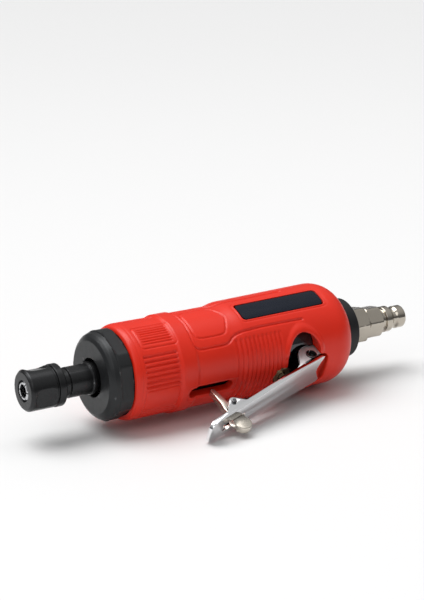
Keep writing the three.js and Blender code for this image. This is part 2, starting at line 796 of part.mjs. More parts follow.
// ---- Finishes -----------------------------------------------------------------------------------
const finish = (color, roughness, metalness) => ({ color, roughness, metalness });
const RED = finish(0xd5281f, 0.45, 0);
const BLACK_OXIDE = finish(0x2c2d30, 0.38, 0.85);
const DARK_STEEL = finish(0x3a3c3f, 0.42, 0.8);
const BRIGHT_STEEL = finish(0xc9ccd0, 0.25, 1);
const CHROME = finish(0xe4e6ea, 0.08, 1);
const BLACK_CHROME = finish(0x1e2022, 0.2, 0.95);
const WARM_NICKEL = finish(0xb9ad9d, 0.3, 0.9);
const NICKEL = finish(0xbcb4a6, 0.22, 1);
const ALUMINIUM = finish(0xa8abae, 0.45, 0.9);
const BRASS = finish(0xb8944d, 0.3, 0.95);
const RUBBER = finish(0x18181a, 0.8, 0);
const FELT = finish(0x8c8a84, 0.95, 0);
const PANEL_BLUE = finish(0x0c1626, 0.12, 0);
const BLACK_RUBBER = finish(0x242526, 0.55, 0);
const FIBRE = finish(0x6a4a2c, 0.7, 0);

function named(name, body, look) {
  const data = body.getMesh();
  const geometry = new THREE.BufferGeometry();
  geometry.setAttribute("position", new THREE.BufferAttribute(data.vertProperties, 3));
  geometry.setIndex(new THREE.BufferAttribute(data.triVerts, 1));
  const mesh = new THREE.Mesh(geometry, new THREE.MeshStandardMaterial(look));
  mesh.name = name;
  return mesh;
}

// ---- Assembly -----------------------------------------------------------------------------------
const tool = new THREE.Group();
tool.add(
  named("collet_nut", colletNut(), BLACK_OXIDE),
  named("collet", collet(), BRIGHT_STEEL),
  named("rotor_spindle", rotorSpindle(), DARK_STEEL),
  ...around(MOTOR.vanes, (turn, i) => named("vane_" + (i + 1), vane(turn), FIBRE)),
  named("shaft_clip", shaftClip(), DARK_STEEL),
  named("front_cap", frontCap(), DARK_STEEL),
  named("cap_seal", seal(19.5, 18.3, 0.36), RUBBER),
  named("bearing_retainer", ring(5.3, 7.7, 12, 9.8, 24), BRIGHT_STEEL),
  named("front_end_plate", frontEndPlate(), ALUMINIUM),
  named("motor_cylinder", motorCylinder(), DARK_STEEL),
  named("cylinder_dowel", dowel(0), BRIGHT_STEEL),
  named("rear_end_plate", rearEndPlate(), ALUMINIUM),
  named("wave_washer", waveWasher(), BRIGHT_STEEL),
  named("grip", grip(), RED),
  named("core", core(), BLACK_CHROME),
  named("panel_plate", panelPlate(), PANEL_BLUE),
  named("exhaust_ring", exhaustRing(), BLACK_RUBBER),
  named("muffler_felt", ring(120, 135, 12, 7.4, 24), FELT),
  named("inlet_bushing", inletBushing(), NICKEL),
  named("inlet_screen", inletScreen(), BRASS),
  named("air_plug", airPlug(), NICKEL),
  named("lever_bracket", leverBracket(), BLACK_CHROME),
  ...bracketScrews((width, i) => named("bracket_screw_" + (i + 1), bracketScrew(width), BLACK_OXIDE)),
  named("lever_pin", leverPin(), BRIGHT_STEEL),
);

for (const [side, bearing] of Object.entries({ front: FRONT_BEARING, rear: REAR_BEARING })) {
  const { x, width, shaft, inner, outer, r } = bearing;
  tool.add(
    named(side + "_bearing_outer_race", ring(x, x + width, r, outer, 20), BRIGHT_STEEL),
    named(side + "_bearing_inner_race", ring(x, x + width, inner, shaft, 20), BRIGHT_STEEL),
    named(side + "_bearing_balls", ballCage(bearing), BRIGHT_STEEL),
  );
}

const leverPlane = new THREE.Group();
leverPlane.rotation.x = LEVER_TILT;
tool.add(leverPlane);

const valve = new THREE.Group();
valve.position.set(STEM.x, 0, 0);
valve.rotation.z = -Math.PI / 2;
valve.add(
  named("valve_stem", valveStem(), BRASS),
  named("valve_bushing", valveBushing(), BRASS),
  named("stem_seal", seal(19.6, 2.72, 0.42, COARSE), RUBBER),
  named("valve_seat", ring(8.2, 9, 4.2, 2.6, 16), RUBBER),
  named("valve_spring", valveSpring(), BRIGHT_STEEL),
);
leverPlane.add(valve);

const lever = new THREE.Group();
lever.position.set(PIN.x, -PIN.height, 0);
lever.rotation.z = Math.PI + LEVER.rest;
lever.add(named("throttle_lever", throttleLever(), CHROME));
leverPlane.add(lever);

const lock = new THREE.Group();
lock.position.set(LOCK.along, LOCK.depth, 0);
lock.add(
  named("lock_lever", lockLever(), WARM_NICKEL),
  named("lock_pin", lockPin(), BRIGHT_STEEL),
  named("lock_spring", lockSpring(), BRIGHT_STEEL),
);
lever.add(lock);

// The part's origin is the middle of the underside of its bounding box.
tool.updateMatrixWorld(true);
const bounds = new THREE.Box3().setFromObject(tool, true);
const part = new THREE.Group();
part.add(tool);
tool.position.set(-(bounds.min.x + bounds.max.x) / 2, -(bounds.min.y + bounds.max.y) / 2, -bounds.min.z);

export default part;
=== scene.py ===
import json
import math

import bmesh
import bpy
import numpy as np
from mathutils import Matrix, Vector


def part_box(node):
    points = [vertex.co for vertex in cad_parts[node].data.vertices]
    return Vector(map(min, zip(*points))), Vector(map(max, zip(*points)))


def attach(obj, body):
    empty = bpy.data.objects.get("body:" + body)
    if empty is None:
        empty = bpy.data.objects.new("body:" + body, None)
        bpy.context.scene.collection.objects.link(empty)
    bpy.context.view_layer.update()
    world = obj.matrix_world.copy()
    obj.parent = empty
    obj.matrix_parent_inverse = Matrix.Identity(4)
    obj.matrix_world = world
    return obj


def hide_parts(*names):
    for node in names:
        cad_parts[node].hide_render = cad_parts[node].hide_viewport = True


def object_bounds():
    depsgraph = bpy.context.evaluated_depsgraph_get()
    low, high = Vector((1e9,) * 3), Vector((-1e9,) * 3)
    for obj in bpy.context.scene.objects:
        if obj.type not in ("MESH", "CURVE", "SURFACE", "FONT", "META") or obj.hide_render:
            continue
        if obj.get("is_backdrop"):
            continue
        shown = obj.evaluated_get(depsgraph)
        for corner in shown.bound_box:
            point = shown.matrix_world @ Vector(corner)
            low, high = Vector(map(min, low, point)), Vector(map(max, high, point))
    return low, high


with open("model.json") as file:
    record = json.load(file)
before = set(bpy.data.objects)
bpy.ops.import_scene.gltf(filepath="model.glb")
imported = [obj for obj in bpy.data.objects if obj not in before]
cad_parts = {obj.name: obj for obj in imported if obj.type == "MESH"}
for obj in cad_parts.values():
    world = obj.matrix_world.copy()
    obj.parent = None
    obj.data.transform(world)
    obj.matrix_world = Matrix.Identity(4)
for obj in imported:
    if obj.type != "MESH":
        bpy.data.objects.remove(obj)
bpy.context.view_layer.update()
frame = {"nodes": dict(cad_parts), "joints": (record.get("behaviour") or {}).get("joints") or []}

# ---- Frame ----------------------------------------------------------------------------------
cap_low, cap_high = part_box("front_cap")
grip_low, grip_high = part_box("grip")
AXIS_START = Vector((cap_low.x, (cap_low.y + cap_high.y) / 2, (grip_low.z + grip_high.z) / 2))
TOOL = Matrix.Translation(AXIS_START) @ Matrix.Scale(0.001, 4)
LEVER_ANGLE = 25.0  # where round the axis the levers are
REST_ANGLE = 18.2  # the lever's slope at rest
PANEL_ANGLE = LEVER_ANGLE - 90  # where round the axis the glossy panel is
joints = {joint["name"]: joint for joint in frame["joints"]}
pin_place = Vector(joints["throttle_lever_pivot"]["pos_m"])


def around_axis(angle):
    """The direction out from the axis at an angle in degrees."""
    turn = math.radians(angle)
    return Vector((0, -math.cos(turn), -math.sin(turn)))


OUT = around_axis(LEVER_ANGLE)
ACROSS = around_axis(LEVER_ANGLE - 90)


def lever_frame(place):
    """Millimetres to the row frame: X from the pin to the tip, Y out of the plate, Z across."""
    rest = math.radians(REST_ANGLE)
    along = Vector((-math.cos(rest), 0, 0)) + OUT * math.sin(rest)
    outward = Vector((math.sin(rest), 0, 0)) + OUT * math.cos(rest)
    columns = Matrix((along, outward, ACROSS)).transposed().to_4x4()
    return Matrix.Translation(place) @ columns @ Matrix.Scale(0.001, 4)


LEVER = lever_frame(pin_place)


# ---- Mesh helpers ---------------------------------------------------------------------------
def mesh_object(name, verts, faces, place):
    """A new object, with its points moved by a matrix into the row frame."""
    mesh = bpy.data.meshes.new(name)
    mesh.from_pydata([tuple(v) for v in verts], [], faces)
    mesh.transform(place)
    mesh.update()
    made = bpy.data.objects.new(name, mesh)
    bpy.context.scene.collection.objects.link(made)
    return made


def shade(made, sharp=38.0):
    """Smooth shading that keeps edges over an angle sharp, with faces turned outward."""
    work = bmesh.new()
    work.from_mesh(made.data)
    bmesh.ops.recalc_face_normals(work, faces=work.faces)
    limit = math.radians(sharp)
    for face in work.faces:
        face.smooth = True
    for edge in work.edges:
        edge.smooth = len(edge.link_faces) != 2 or edge.calc_face_angle() < limit
    work.to_mesh(made.data)
    work.free()
    return made


def dress(made, material, body, nodes=()):
    """Gives a piece its material, its body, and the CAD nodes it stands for."""
    made.data.materials.clear()
    made.data.materials.append(material)
    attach(made, body)
    if nodes:
        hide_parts(*nodes)
    return made


def fillet(points, radii, steps=4):
    """A closed outline with its corners rounded. A radius of 0 keeps the corner."""
    rounded = []
    count = len(points)
    for i, (point, radius) in enumerate(zip(points, radii)):
        here = Vector(point)
        before = Vector(points[i - 1]) - here
        after = Vector(points[(i + 1) % count]) - here
        if radius <= 0 or before.length < 1e-6 or after.length < 1e-6:
            rounded.append(tuple(here))
            continue
        half = before.angle(after) / 2
        reach = min(radius / math.tan(half), 0.48 * before.length, 0.48 * after.length)
        size = reach * math.tan(half)
        bisector = (before.normalized() + after.normalized()).normalized()
        centre = here + bisector * (size / math.sin(half))
        start = here + before.normalized() * reach - centre
        end = here + after.normalized() * reach - centre
        swing = math.atan2(start.x * end.y - start.y * end.x, start.dot(end))
        for step in range(steps + 1):
            turn = swing * step / steps
            c, s = math.cos(turn), math.sin(turn)
            rounded.append(
                (centre.x + c * start.x - s * start.y, centre.y + s * start.x + c * start.y)
            )
    return rounded


def densify(points, longest):
    """The same closed outline, with its long sides split."""
    dense = []
    for i, a in enumerate(points):
        b = points[(i + 1) % len(points)]
        parts = max(1, math.ceil(math.dist(a, b) / longest))
        dense += [
            (a[0] + (b[0] - a[0]) * k / parts, a[1] + (b[1] - a[1]) * k / parts)
            for k in range(parts)
        ]
    return dense


def revolve(name, profile, material, body, nodes=(), segments=120, shape=None,
            sharp=38.0):
    """A closed [x, radius] outline turned about the axis. shape(x, radius, angle) bends it."""
    verts, faces = [], []
    count = len(profile)
    for step in range(segments):
        angle = 360 * step / segments
        turn = math.radians(angle)
        for x, radius in profile:
            r = shape(x, radius, angle) if shape else radius
            verts.append((x, -r * math.cos(turn), -r * math.sin(turn)))
    for step in range(segments):
        a, b = step * count, (step + 1) % segments * count
        for k in range(count):
            m = (k + 1) % count
            faces.append((a + k, a + m, b + m, b + k))
    made = mesh_object(name, verts, faces, TOOL)
    return dress(shade(made, sharp), material, body, nodes)


def rounded_profile(rows, steps=4, longest=None):
    """An outline from [x, radius, corner radius] rows."""
    outline = fillet([(x, r) for x, r, _ in rows], [c for _, _, c in rows], steps)
    return densify(outline, longest) if longest else outline


def prism(name, outline, low, high, place):
    """A flat outline in X and Y, pushed along Z."""
    count = len(outline)
    verts = [(x, y, low) for x, y in outline] + [(x, y, high) for x, y in outline]
    faces = [tuple(reversed(range(count))), tuple(range(count, 2 * count))]
    for k in range(count):
        m = (k + 1) % count
        faces.append((k, m, m + count, k + count))
    return mesh_object(name, verts, faces, place)


def stadium(cx, cy, half_x, half_y, radius, steps=10):
    """A rectangle's outline with round corners."""
    corners = [(-1, -1, 180), (1, -1, 270), (1, 1, 0), (-1, 1, 90)]
    outline = []
    for sx, sy, start in corners:
        for step in range(steps + 1):
            turn = math.radians(start + 90 * step / steps)
            x = cx + sx * (half_x - radius) + radius * math.cos(turn)
            y = cy + sy * (half_y - radius) + radius * math.sin(turn)
            outline.append((x, y))
    return outline


def arc(cx, cy, radius, start, end, steps):
    turns = [math.radians(start + (end - start) * k / steps) for k in range(steps + 1)]
    return [(cx + radius * math.cos(turn), cy + radius * math.sin(turn)) for turn in turns]


def apply_modifiers(made):
    graph = bpy.context.evaluated_depsgraph_get()
    mesh = bpy.data.meshes.new_from_object(made.evaluated_get(graph))
    made.modifiers.clear()
    made.data = mesh


def combine(made, others, operation="DIFFERENCE"):
    """Cuts other pieces out of one, or meets it with them, and removes them."""
    for other in others:
        step = made.modifiers.new("cut", "BOOLEAN")
        step.operation = operation
        step.solver = "EXACT"
        step.object = other
        bpy.context.view_layer.update()
        apply_modifiers(made)
        bpy.data.objects.remove(other)
    return made


def soften(made, width, segments=3, angle=32.0):
    """Rounds the edges over an angle, by a width in millimetres."""
    work = bmesh.new()
    work.from_mesh(made.data)
    bmesh.ops.remove_doubles(work, verts=work.verts, dist=2e-6)
    bmesh.ops.dissolve_limit(
        work, angle_limit=math.radians(0.6), verts=work.verts, edges=work.edges
    )
    work.to_mesh(made.data)
    work.free()
    bevel = made.modifiers.new("edges", "BEVEL")
    bevel.width = width / 1000
    bevel.segments = segments
    bevel.limit_method = "ANGLE"
    bevel.angle_limit = math.radians(angle)
    bevel.use_clamp_overlap = True
    bpy.context.view_layer.update()
    apply_modifiers(made)
    return made


# ---- Materials ------------------------------------------------------------------------------
def finish(name, colour, roughness, metallic=0.0, other=None, spread=0.12, grain=900.0, bump=0.02,
           tone=0.5, stretch=(1, 1, 1), wear=None, specular=0.5, depth=0.0002):
    """A surface whose colour and gloss drift a little, with a fine grain in its relief."""
    material = bpy.data.materials.new(name)
    material.use_nodes = True
    nodes, links = material.node_tree.nodes, material.node_tree.links
    shader = nodes["Principled BSDF"]
    shader.inputs["Metallic"].default_value = metallic
    shader.inputs["Specular IOR Level"].default_value = specular
    place = nodes.new("ShaderNodeTexCoord")
    scale = nodes.new("ShaderNodeMapping")
    scale.inputs["Scale"].default_value = stretch
    links.new(place.outputs["Object"], scale.inputs["Vector"])

    cloud = nodes.new("ShaderNodeTexNoise")
    cloud.inputs["Scale"].default_value = 38
    cloud.inputs["Detail"].default_value = 5
    links.new(place.outputs["Object"], cloud.inputs["Vector"])
    fine = nodes.new("ShaderNodeTexNoise")
    fine.inputs["Scale"].default_value = grain
    fine.inputs["Detail"].default_value = 3
    links.new(scale.outputs["Vector"], fine.inputs["Vector"])

    ramp = nodes.new("ShaderNodeValToRGB")
    second = other or tuple(c * 0.86 for c in colour)
    ramp.color_ramp.elements[0].position = tone - 0.22
    ramp.color_ramp.elements[1].position = tone + 0.22
    ramp.color_ramp.elements[0].color = (*second, 1)
    ramp.color_ramp.elements[1].color = (*colour, 1)
    links.new(cloud.outputs["Fac"], ramp.inputs["Fac"])
    base = ramp.outputs["Color"]
    if wear:
        edge = nodes.new("ShaderNodeNewGeometry")
        pick = nodes.new("ShaderNodeValToRGB")
        pick.color_ramp.elements[0].position = 0.56
        pick.color_ramp.elements[1].position = 0.66
        links.new(edge.outputs["Pointiness"], pick.inputs["Fac"])
        mix = nodes.new("ShaderNodeMix")
        mix.data_type = "RGBA"
        mix.inputs["B"].default_value = (*wear, 1)
        links.new(pick.outputs["Color"], mix.inputs["Factor"])
        links.new(base, mix.inputs["A"])
        base = mix.outputs["Result"]
    links.new(base, shader.inputs["Base Color"])

    gloss = nodes.new("ShaderNodeMapRange")
    gloss.inputs["From Min"].default_value = 0.3
    gloss.inputs["From Max"].default_value = 0.7
    gloss.inputs["To Min"].default_value = roughness * (1 - spread)
    gloss.inputs["To Max"].default_value = roughness * (1 + spread)
    links.new(fine.outputs["Fac"], gloss.inputs["Value"])
    links.new(gloss.outputs["Result"], shader.inputs["Roughness"])

    relief = nodes.new("ShaderNodeBump")
    relief.inputs["Strength"].default_value = bump
    relief.inputs["Distance"].default_value = depth
    links.new(fine.outputs["Fac"], relief.inputs["Height"])
    links.new(relief.outputs["Normal"], shader.inputs["Normal"])
    return material


TURNED = (26, 1, 1)  # stretches the grain into fine rings round the axis
RED = finish("red_moulding", (0.76, 0.0235, 0.0065), 0.36, other=(0.70, 0.0195, 0.0055),
             grain=2600, bump=0.12, spread=0.1, specular=0.35)
OXIDE = finish("black_oxide", (0.036, 0.0365, 0.038), 0.30, 0.85, grain=420, bump=0.05,
               stretch=TURNED, wear=(0.12, 0.12, 0.125))
CAP_STEEL = finish("cap_steel", (0.027, 0.0285, 0.030), 0.36, 0.45, other=(0.022, 0.0235, 0.025),
                   grain=380, bump=0.06, stretch=TURNED, wear=(0.09, 0.092, 0.095), specular=0.35)
GROUND = finish("ground_steel", (0.55, 0.555, 0.57), 0.22, 1.0, grain=500, bump=0.05,
                stretch=TURNED)
CORE = finish("black_core", (0.085, 0.087, 0.092), 0.20, 0.9, grain=500, bump=0.05, stretch=TURNED)
CHROME = finish("chrome", (0.86, 0.865, 0.875), 0.06, 1.0, other=(0.82, 0.825, 0.84), spread=0.35,
                grain=260, bump=0.012)
SATIN = finish("satin_chrome", (0.90, 0.90, 0.91), 0.40, 0.45, other=(0.84, 0.84, 0.855),
               grain=600, bump=0.04)
DARK_PIN = finish("dark_pin", (0.16, 0.16, 0.165), 0.22, 0.9, grain=500, bump=0.05)
NICKEL = finish("nickel", (0.52, 0.475, 0.41), 0.12, 1.0, other=(0.43, 0.39, 0.33), spread=0.3,
                grain=420, bump=0.03, stretch=TURNED)
CATCH = finish("satin_nickel", (0.70, 0.65, 0.57), 0.24, 0.9, other=(0.60, 0.55, 0.48),
               grain=700, bump=0.10)
BRASS = finish("brass", (0.34, 0.27, 0.17), 0.30, 1.0, grain=500, bump=0.04, stretch=TURNED)
ALLOY = finish("alloy", (0.55, 0.56, 0.57), 0.35, 1.0, grain=500, bump=0.05, stretch=TURNED)
RUBBER = finish("rubber", (0.022, 0.022, 0.024), 0.6, grain=1200, bump=0.15)
RING_BLACK = finish("black_moulding", (0.012, 0.0125, 0.0135), 0.42, grain=1900, bump=0.1,
                    other=(0.010, 0.0105, 0.0115), specular=0.3)
PANEL = finish("glossy_panel", (0.0035, 0.0070, 0.017), 0.28, grain=900, bump=0.01,
               other=(0.0028, 0.0056, 0.0135), specular=0.2)
FELT = finish("felt", (0.34, 0.33, 0.31), 0.95, grain=1500, bump=0.5)
FIBRE = finish("fibre", (0.20, 0.10, 0.04), 0.7, grain=900, bump=0.2)


# ---- Nose group -----------------------------------------------------------------------------
def wrapped(angle, centre):
    """Degrees from a centre, from -180 to 180."""
    return (angle - centre + 180) % 360 - 180


def nut_surface(x, r, angle):
    """Three long flats with round ends, sunk into the nut's outside."""
    if r < 7.5:
        return r
    for centre in (-105, 15, 135):
        off = wrapped(angle, centre)
        if abs(off) > 60:
            continue
        flat = 8.15 / math.cos(math.radians(off))
        lateral = flat * math.sin(math.radians(off))
        dx, dy = abs(x + 26) - 1.6, abs(lateral) - 1.0
        gap = math.hypot(max(dx, 0), max(dy, 0)) - 3.4
        if gap < 0.35 and r > flat:
            share = min(1.0, max(0.0, (0.35 - gap) / 0.7))
            r = min(r, r + (flat - r) * share)
    return r


nut_profile = rounded_profile([
    (-33.1, 4.75, 0.25), (-33.1, 8.3, 0.8), (-32.0, 9.3, 0.8), (-20.7, 9.3, 0.3),
    (-20.4, 8.65, 0.2), (-19.9, 8.65, 0.2), (-19.6, 9.5, 0.3), (-16.6, 9.5, 0.5),
    (-16.0, 8.6, 0.3), (-16.0, 6.5, 0.1),
    (-28.6, 6.5, 0.1), (-29.4, 5.6, 0.1), (-31.1, 4.75, 0.2),
], longest=0.5)
revolve("nut_shell", nut_profile, OXIDE, "nut", ["collet_nut"], 150, nut_surface)

spindle_profile = rounded_profile([
    (-8, 3.3, 0.3), (-15.5, 3.3, 0.2), (-15.5, 4.5, 0.1), (-20, 4.5, 0.1), (-28, 5.5, 0.1),
    (-28, 6.2, 0.3), (-13, 6.2, 0.1), (-12.6, 6.9, 0.25), (-2.4, 6.9, 0.1), (-2, 7.4, 0.25),
    (-0.4, 7.4, 0.2), (0, 6.9, 0.1), (5, 6.9, 0.2), (5, 5, 0.1), (12, 5, 0.1), (12, 0.3, 0),
    (-8, 0.3, 0),
], longest=0.7)


def spindle_surface(x, r, angle):
    """Two wrench flats, either side of the axis."""
    if r > 6.5 and -12.05 < x < -2.95:
        for centre in (90, -90):
            off = wrapped(angle, centre)
            if abs(off) < 50:
                r = min(r, 5.75 / math.cos(math.radians(off)))
    return r


revolve("spindle_nose", spindle_profile, OXIDE, "spindle", (), 120,
        spindle_surface, 30)
cap_flats = [-4.4 + 60 * k for k in range(6)]


def cap_surface(x, r, angle):
    """Six wrench flats that run out into the round band."""
    if r > 19 and x > 4.2:
        for centre in cap_flats:
            off = wrapped(angle, centre)
            if abs(off) < 31:
                r = min(r, 18.95 / math.cos(math.radians(off)) + max(0, 4.6 - x) * 2)
    return r


cap_profile = rounded_profile([
    (0, 8.7, 0.5), (0, 16.5, 0.7), (0.9, 18.0, 1.6), (2.2, 19.2, 1.6), (4.0, 19.75, 0.25),
    (4.3, 20.4, 0.3), (10.5, 20.4, 0.35), (10.5, 19, 0.1), (19, 19, 0.1), (19, 17.4, 0.1),
    (11.1, 17.4, 0.1), (11.1, 14.7, 0.1), (5, 14.7, 0.1), (5, 8.7, 0.3),
], longest=0.6)
revolve("cap_shell", cap_profile, CAP_STEEL, "housing", ["front_cap"], 180,
        cap_surface, 28)


# ---- Air inlet and exhaust ------------------------------------------------------------------
ring_profile = rounded_profile([
    (119, 12.4, 0.1), (119, 14.2, 0.2), (136.5, 14.2, 0.1), (137.4, 13.2, 0.9), (137.4, 8.7, 0.3),
    (135.4, 8.7, 0.1), (135.4, 12.4, 0.1),
], steps=5)
exhaust = revolve("exhaust_shell", ring_profile, RING_BLACK, "housing", (), 128)
vents = []
for k in range(8):
    outline = stadium(136.5, 0, 3.2, 0.9, 0.85, 6)
    spin = Matrix.Rotation(math.radians(45 * k), 4, "X")
    vents.append(prism("vent", outline, 9.7, 12.1, TOOL @ spin))
combine(exhaust, vents)
dress(shade(exhaust), RING_BLACK, "housing", ["exhaust_ring"])


def hexagon(across, first):
    """A radius limit that gives six flats, with one at the first angle."""
    def surface(x, r, angle):
        for k in range(6):
            off = wrapped(angle, first + 60 * k)
            if abs(off) <= 30.5:
                r = min(r, across / 2 / math.cos(math.radians(off)))
        return r

    return surface


def bushing_surface(x, r, angle):
    return hexagon(16.2, 20)(x, r, angle) if 137.9 < x < 148.2 and r > 7.5 else r


bushing_profile = rounded_profile([
    (118, 6.7, 0.1), (137.7, 6.7, 0.1), (137.7, 8.4, 0.3), (138.4, 9.3, 0.4), (147.0, 9.1, 0.7),
    (148, 8.0, 0.4), (148, 5.3, 0.1), (140, 5.3, 0.1), (140, 4, 0.1), (118, 4, 0.1),
], longest=0.6)
revolve("bushing_shell", bushing_profile, NICKEL, "housing", (), 150, bushing_surface, 26)


def plug_surface(x, r, angle):
    return hexagon(14.2, 20)(x, r, angle) if 148.5 < x < 156.9 and r > 6.8 else r


plug_profile = rounded_profile([
    (141, 2.6, 0.1), (141, 4.9, 0.1), (148.3, 4.9, 0.1), (148.3, 7.2, 0.2), (148.9, 7.9, 0.3),
    (156.4, 7.9, 0.5), (157.4, 6.6, 0.4), (158.2, 5.3, 0.4), (159.5, 5.2, 0.3), (160.1, 6.3, 0.5),
    (163.3, 6.35, 0.5), (164, 5.0, 0.5), (165.2, 4.3, 0.8), (166.5, 4.5, 0.5), (167.5, 5.45, 0.5),
    (171.3, 5.5, 0.6), (172, 4.9, 0.3), (172, 2.6, 0.3),
], longest=0.6)
revolve("plug_shell", plug_profile, NICKEL, "housing", ["air_plug"], 150,
        plug_surface, 26)


# ---- Grip -----------------------------------------------------------------------------------
def smooth_step(a, b, x):
    t = np.clip((x - a) / (b - a), 0, 1)
    return t * t * (3 - 2 * t)


def base_radius(x):
    """The grip's plain outside radius, without its moulded details."""
    r = 19.7 + 2.1 * np.sqrt(np.clip(1 - (1 - np.clip((x - 11) / 4, 0, 1)) ** 2, 0, 1))
    r = r - 0.15 * np.clip((x - 15) / 18, 0, 1)
    r = r + 0.85 * smooth_step(33.4, 34.9, x) - 0.65 * smooth_step(41.2, 43.2, x)
    r = r + 1.3 * smooth_step(61.5, 69.5, x) + 0.85 * np.clip((x - 69.5) / 48.5, 0, 1)
    return r


def rounded_box(x, y, cx, cy, half_x, half_y, radius):
    """Signed distance to a rectangle with round corners, negative inside."""
    dx = np.abs(x - cx) - half_x + radius
    dy = np.abs(y - cy) - half_y + radius
    outside = np.hypot(np.maximum(dx, 0), np.maximum(dy, 0))
    return outside + np.minimum(np.maximum(dx, dy), 0) - radius


# Each gap is the distance outside an opening's outline, over x and the width n across it.
def pocket_gap(x, n):
    return rounded_box(x, n, 98.1, 0, 8.7, 18.0, 8.6)


def opening_gap(x, n):
    well = rounded_box(x, n, 103.8, 0, 7.8, 8.4, 3.0)
    stem = np.hypot(x - 87.5, n) - 4.8
    return np.minimum(pocket_gap(x, n), np.minimum(well, stem))


def slot_gap(x, n):
    return rounded_box(x, n, 50.0, 0, 11.5, 2.75, 2.7)


def panel_gap(x, n):
    return rounded_box(x, n, 93.0, 0, 22.45, 5.2, 1.9)


def near_line(x, arc_mm, line):
    """Distance from points to a broken line of (x, angle) corners, measured over the surface."""
    best = np.full(x.shape, 1e9)
    corners = [(px, math.radians(angle) * 22.6) for px, angle in line]
    for (ax, ay), (bx, by) in zip(corners, corners[1:]):
        length = max((bx - ax) ** 2 + (by - ay) ** 2, 1e-9)
        t = np.clip(((x - ax) * (bx - ax) + (arc_mm - ay) * (by - ay)) / length, 0, 1)
        best = np.minimum(best, np.hypot(x - ax - t * (bx - ax), arc_mm - ay - t * (by - ay)))
    return best


def groove(distance, half, depth):
    """A rounded groove's relief, by the distance from its middle line."""
    return -depth * np.cos(np.clip(distance / half, 0, 1) * math.pi / 2) ** 2


SADDLE = [(100, -39.6), (90.5, -40.0), (78.4, -40.2), (67.0, -38.8), (64.2, -37.4), (62.3, -34.8),
          (61.0, -31.6), (59.6, -29.4), (57.4, -28.2), (54.5, -27.9), (46.5, -27.9), (44.2, -28.6),
          (42.7, -30.6), (41.9, -34.0), (41.7, -40.0), (41.8, -52.0), (42.1, -65.0)]
INNER = [(63.4, -65.0), (62.6, -58.0), (61.0, -48.0), (59.9, -43.8), (58.8, -41.8), (57.0, -41.0),
         (51.8, -40.8), (47.4, -41.1), (45.6, -41.9), (44.5, -44.0), (43.9, -51.0), (43.8, -65.0)]
FINE_MIDDLE = 7.0  # the fine rib panel's middle, in degrees from the glossy panel's line
FINGERS = [63.8 + 2.25 * k for k in range(11)]


def grip_detail(x, angle):
    """What the moulding adds to or takes from the plain radius, by x and angle round the axis."""
    r = base_radius(x)
    off = (angle - LEVER_ANGLE + 180) % 360 - 180
    turn = np.radians(off)
    n = -r * np.sin(turn)
    front = np.cos(turn) > 0.05
    delta = np.zeros_like(x)
    # A coarse rib panel each side of the lever plane, and a smooth panel between them.
    ends = smooth_step(15.6, 16.6, x) * (1 - smooth_step(32.6, 33.5, x))
    side = np.abs(off)
    for middle in (38.6, 141.4):
        for k in range(-3, 4):
            d = np.radians(side - middle - 5.9 * k) * 21.8
            delta += ends * groove(np.abs(d), 0.95, 0.8)
    smooth_panel = rounded_box(x, np.radians(side) * 21.8, 24.6, 0, 8.6, 6.0, 1.2)
    delta += groove(np.abs(smooth_panel), 0.55, 0.35)
    # A fine rib panel in a thin frame, near the glossy panel's line.
    around = (angle - PANEL_ANGLE + 180) % 360 - 180
    fine_ends = smooth_step(17.6, 18.3, x) * (1 - smooth_step(32.6, 33.3, x))
    for k in range(7):
        d = np.radians(around - FINE_MIDDLE - (k - 3) * 3.7) * 21.8
        delta += fine_ends * groove(np.abs(d), 0.62, 0.38)
    fine_frame = rounded_box(x, np.radians(around - FINE_MIDDLE) * 21.8, 25.6, 0, 9.0, 6.3, 1.5)
    delta += groove(np.abs(fine_frame), 0.5, 0.32)
    # A soft ring at the front lip.
    delta += groove(np.abs(x - 14.3), 0.55, 0.16)
    # Finger grooves round the lever side.
    reach = smooth_step(-58.0, -54.0, off) * (1 - smooth_step(54.0, 58.0, off))
    for centre in FINGERS:
        delta += reach * groove(np.abs(x - centre), 1.0, 0.6)
    # Saddle outline, and a finer line inside it, mirrored about the panel.
    mirrored = PANEL_ANGLE + np.abs(around)
    length = np.radians(mirrored) * 22.6
    delta += groove(near_line(x, length, SADDLE), 0.9, 0.75)
    delta += groove(near_line(x, length, INNER), 0.6, 0.4)
    # A shallow recess round the slot, and a soft raised rim round the pocket.
    recess = rounded_box(x, n, 50.9, 0.1, 13.3, 3.7, 2.0)
    delta -= np.where(front, 0.5 * (1 - smooth_step(-0.5, 0.5, recess)), 0)
    rim = pocket_gap(x, n)
    bump = 0.85 * np.sin(np.clip((rim + 0.9) / 3.7, 0, 1) * math.pi) ** 1.3
    bump *= smooth_step(8.2, 11.5, np.abs(n))
    delta += np.where(front, bump, 0)
    # A thin line round the glossy panel.
    border = rounded_box(x, np.radians(around) * r, 93.0, 0, 23.6, 6.3, 2.4)
    delta += groove(np.abs(border), 0.5, 0.22)
    return r + delta


def surface_point(x, n, side_angle):
    """The point on the grip over (x, n), seen square from an angle round the axis."""
    x, n = np.atleast_1d(x).astype(float), np.atleast_1d(n).astype(float)
    r = base_radius(x)
    for _ in range(3):
        angle = side_angle - np.degrees(np.arcsin(np.clip(n / r, -0.999, 0.999)))
        r = grip_detail(x, angle)
    height = np.sqrt(np.maximum(r**2 - n**2, 0.01))
    return x, height, n


FAR_SIDE = 8  # a face lower than this, seen from an opening, belongs to the grip's far side


